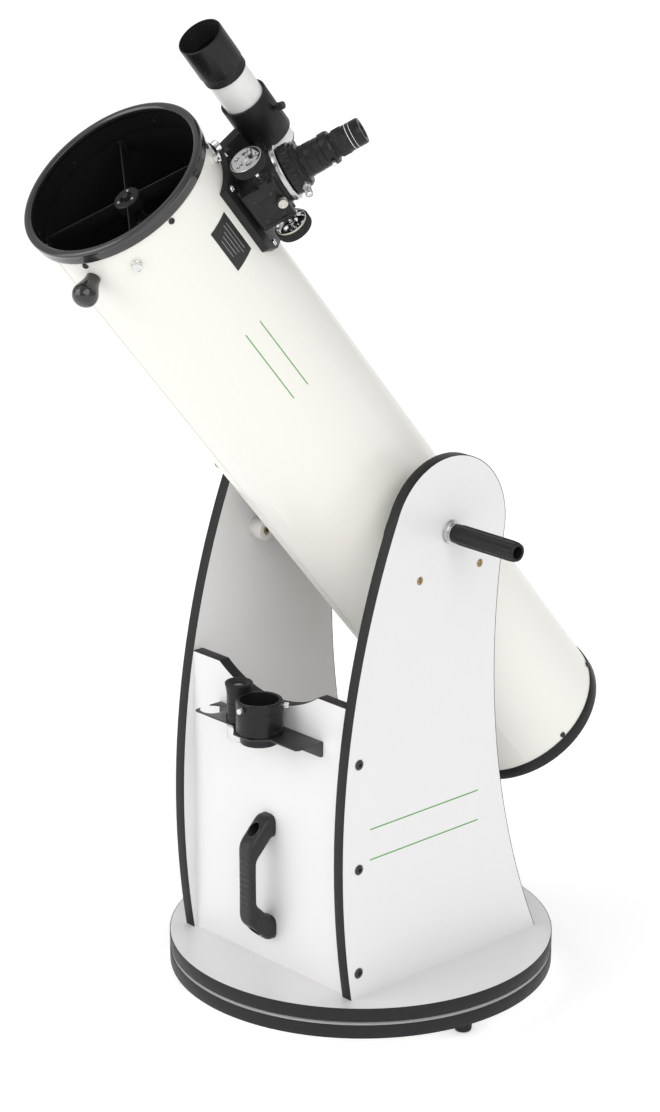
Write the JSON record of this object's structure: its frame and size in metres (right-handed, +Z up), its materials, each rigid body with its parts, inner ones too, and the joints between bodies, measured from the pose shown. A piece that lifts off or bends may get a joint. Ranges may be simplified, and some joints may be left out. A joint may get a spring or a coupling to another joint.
{
  "type": "dobsonian telescope",
  "caption": "Newtonian reflector in a rocker-box base: azimuth turntable, altitude bearings with tension handles, focuser, finder, carry handle and eyepiece rack.",
  "frame": {"origin": "on the ground below the middle of the whole telescope's bounding box, as stored with the tube at 50 degrees; the azimuth and altitude axes cross 51.5 mm towards +Y", "axes": "+Z up, the front board and the tube's open end towards -Y, the altitude axis along X with the focuser on the +X side"},
  "size_m": [0.563, 0.8962, 1.3325],
  "materials": {
    "melamine_white": "satin white melamine over chipboard",
    "edge_band_grey": "fine-textured dark grey edge banding",
    "tube_ivory": "gloss ivory enamel over rolled steel",
    "ring_black": "semi-gloss moulded black",
    "cast_black": "fine black textured paint on die-cast alloy",
    "anodised_black": "satin black anodising",
    "knob_gloss_black": "glossy moulded ball",
    "handle_black": "moulded with a fine grain",
    "rubber_black": "matt fluted rubber",
    "chrome_bright": "polished plating",
    "alloy_bare": "fine-blasted",
    "steel_zinc": "zinc plated",
    "fastener_black": "black oxide",
    "brass_plated": "dull yellow plating",
    "nylon_white": "smooth nylon",
    "mirror_silver": "aluminised glass",
    "finder_white": "gloss white",
    "label_black": "printed film"
  },
  "bodies": {
    "ground": {"ground_board": "melamine_white", "ground_edge_band": "edge_band_grey", "ground_feet": "rubber_black", "azimuth_pads": "nylon_white", "pivot_bolt": "steel_zinc"},
    "rocker": {"azimuth_board": "melamine_white", "azimuth_edge_band": "edge_band_grey", "sideboard_right": "melamine_white", "sideboard_left": "melamine_white", "board_edge_bands": "edge_band_grey", "front_board": "melamine_white", "assembly_bolts": "fastener_black", "altitude_bushes": "nylon_white", "bush_screws": "brass_plated", "eyepiece_rack": "fastener_black", "carry_handle": "handle_black"},
    "optical_tube": {"tube": "tube_ivory", "front_ring": "ring_black", "rear_ring": "cast_black", "ring_screws": "fastener_black", "altitude_bearings": "handle_black", "spider": "cast_black", "spider_screws": "chrome_bright", "secondary_holder": "handle_black", "secondary_mirror": "mirror_silver", "pull_knob": "knob_gloss_black", "nameplate": "label_black", "mirror_cell": "cast_black", "primary_mirror": "mirror_silver", "cell_lock_screws": "fastener_black", "focuser_base": "cast_black", "focuser_body": "cast_black", "focuser_flange_ring": "alloy_bare", "finder_shoe": "cast_black"},
    "handle_right": {"tension_stem_right": "steel_zinc", "tension_grip_right": "rubber_black"},
    "handle_left": {"tension_stem_left": "steel_zinc", "tension_grip_left": "rubber_black"},
    "focus_knobs": {"focus_axle": "alloy_bare", "focus_knob_rims": "rubber_black"},
    "focus_lock": {"focus_lock_screw": "alloy_bare"},
    "draw": {"drawtube": "anodised_black"},
    "clamp_1": {"clamp_screw_1": "chrome_bright"},
    "clamp_2": {"clamp_screw_2": "chrome_bright"},
    "extension": {"extension_tube": "anodised_black"},
    "extension_lock": {"extension_screw": "chrome_bright"},
    "main_eyepiece": {"eyepiece": "anodised_black"},
    "collimation_1": {"collimation_knob_1": "fastener_black"},
    "collimation_2": {"collimation_knob_2": "fastener_black"},
    "collimation_3": {"collimation_knob_3": "fastener_black"},
    "bracket": {"finder_bracket": "cast_black"},
    "shoe_lock": {"shoe_screw": "chrome_bright"},
    "adjuster_1": {"adjusting_screw_1": "fastener_black"},
    "adjuster_2": {"adjusting_screw_2": "fastener_black"},
    "finder": {"finder_tube": "finder_white"},
    "finder_cell": {"dew_shield": "anodised_black"},
    "rack_eyepiece": {"spare_eyepiece": "anodised_black"},
    "rack_adapter": {"spare_adapter": "anodised_black"},
    "adapter_lock_1": {"adapter_screw_1": "chrome_bright"},
    "adapter_lock_2": {"adapter_screw_2": "chrome_bright"}
  },
  "joints": [
    {"name": "azimuth_turn", "type": "hinge", "parent": "ground", "child": "rocker", "pos_m": [0, 0.0515, 0.0515], "axis": [0, 0, 1], "continuous": true},
    {"name": "altitude_tilt", "type": "hinge", "parent": "rocker", "child": "optical_tube", "pos_m": [0, 0.0515, 0.6695], "axis": [-1, 0, 0], "range_deg": [-50, 40]},
    {"name": "tension_handle_right_turn", "type": "hinge", "parent": "optical_tube", "child": "handle_right", "pos_m": [0, 0.0515, 0.6695], "axis": [1, 0, 0], "range_deg": [0, 720]},
    {"name": "tension_handle_left_turn", "type": "hinge", "parent": "optical_tube", "child": "handle_left", "pos_m": [0, 0.0515, 0.6695], "axis": [-1, 0, 0], "range_deg": [0, 720]},
    {"name": "focus_travel", "type": "slide", "parent": "optical_tube", "child": "draw", "axis": [0.6361, 0.5911, 0.496], "range_m": [0, 0.035]},
    {"name": "focus_knob_turn", "type": "hinge", "parent": "optical_tube", "child": "focus_knobs", "pos_m": [0.12337, -0.21025, 1.12868], "axis": [0, -0.6428, 0.766], "range_deg": [-340, 0]},
    {"name": "focus_lock_turn", "type": "hinge", "parent": "optical_tube", "child": "focus_lock", "pos_m": [0.13283, -0.20684, 1.13023], "axis": [0.7716, -0.4873, -0.4089], "range_deg": [0, 720]},
    {"name": "clamp_screw_1_turn", "type": "hinge", "parent": "draw", "child": "clamp_1", "pos_m": [0.14938, -0.17991, 1.13881], "axis": [0.7339, -0.2648, -0.6256], "range_deg": [0, 720]},
    {"name": "clamp_screw_2_turn", "type": "hinge", "parent": "draw", "child": "clamp_2", "pos_m": [0.0997, -0.13975, 1.15464], "axis": [-0.5734, 0.7922, -0.2087], "range_deg": [0, 720]},
    {"name": "extension_pull", "type": "slide", "parent": "draw", "child": "extension", "axis": [0.6361, 0.5911, 0.496], "range_m": [0, 0.035]},
    {"name": "extension_screw_turn", "type": "hinge", "parent": "extension", "child": "extension_lock", "pos_m": [0.1672, -0.15423, 1.17002], "axis": [0.7599, -0.3682, -0.5357], "range_deg": [0, 720]},
    {"name": "eyepiece_pull", "type": "slide", "parent": "extension", "child": "main_eyepiece", "axis": [0.6361, 0.5911, 0.496], "range_m": [0, 0.034]},
    {"name": "collimation_1_turn", "type": "hinge", "parent": "optical_tube", "child": "collimation_1", "pos_m": [0, 0.4185, 0.35347], "axis": [0, -0.6428, 0.766], "range_deg": [-360, 360]},
    {"name": "collimation_2_turn", "type": "hinge", "parent": "optical_tube", "child": "collimation_2", "pos_m": [-0.06755, 0.32888, 0.27826], "axis": [0, -0.6428, 0.766], "range_deg": [-360, 360]},
    {"name": "collimation_3_turn", "type": "hinge", "parent": "optical_tube", "child": "collimation_3", "pos_m": [0.06755, 0.32888, 0.27826], "axis": [0, -0.6428, 0.766], "range_deg": [-360, 360]},
    {"name": "finder_bracket_slide", "type": "slide", "parent": "optical_tube", "child": "bracket", "axis": [0, -0.6428, 0.766], "range_m": [-0.045, 0]},
    {"name": "shoe_screw_turn", "type": "hinge", "parent": "optical_tube", "child": "shoe_lock", "pos_m": [0.03158, -0.22172, 1.17845], "axis": [0.2588, 0.7399, 0.6209], "range_deg": [0, 720]},
    {"name": "adjusting_screw_1_turn", "type": "hinge", "parent": "bracket", "child": "adjuster_1", "pos_m": [0.06989, -0.15345, 1.22464], "axis": [0.8829, 0.3596, 0.3018], "range_deg": [-180, 180]},
    {"name": "adjusting_screw_2_turn", "type": "hinge", "parent": "bracket", "child": "adjuster_2", "pos_m": [0.01743, -0.14491, 1.2318], "axis": [-0.6157, 0.6037, 0.5065], "range_deg": [-180, 180]},
    {"name": "finder_aim", "type": "hinge", "parent": "bracket", "child": "finder", "pos_m": [0.03898, -0.18146, 1.23246], "axis": [0.9781, -0.1593, -0.1336], "range_deg": [-0.6, 0.6]},
    {"name": "finder_focus_turn", "type": "hinge", "parent": "finder", "child": "finder_cell", "pos_m": [0.03898, -0.21939, 1.27766], "axis": [0, -0.6428, 0.766], "range_deg": [-180, 180]},
    {"name": "rack_eyepiece_lift", "type": "slide", "parent": "rocker", "child": "rack_eyepiece", "axis": [0, 0, 1], "range_m": [0, 0.08]},
    {"name": "rack_adapter_lift", "type": "slide", "parent": "rocker", "child": "rack_adapter", "axis": [0, 0, 1], "range_m": [0, 0.06]},
    {"name": "adapter_screw_1_turn", "type": "hinge", "parent": "rack_adapter", "child": "adapter_lock_1", "pos_m": [0.02479, -0.18138, 0.4485], "axis": [0.0872, -0.9962, 0], "range_deg": [0, 720]},
    {"name": "adapter_screw_2_turn", "type": "hinge", "parent": "rack_adapter", "child": "adapter_lock_2", "pos_m": [0.04651, -0.12893, 0.4485], "axis": [0.766, 0.6428, 0], "range_deg": [0, 720]}
  ],
  "couplings": [
    {"joint": "focus_knob_turn", "follows": "focus_travel", "rad_per_m": -166.67}
  ]
}
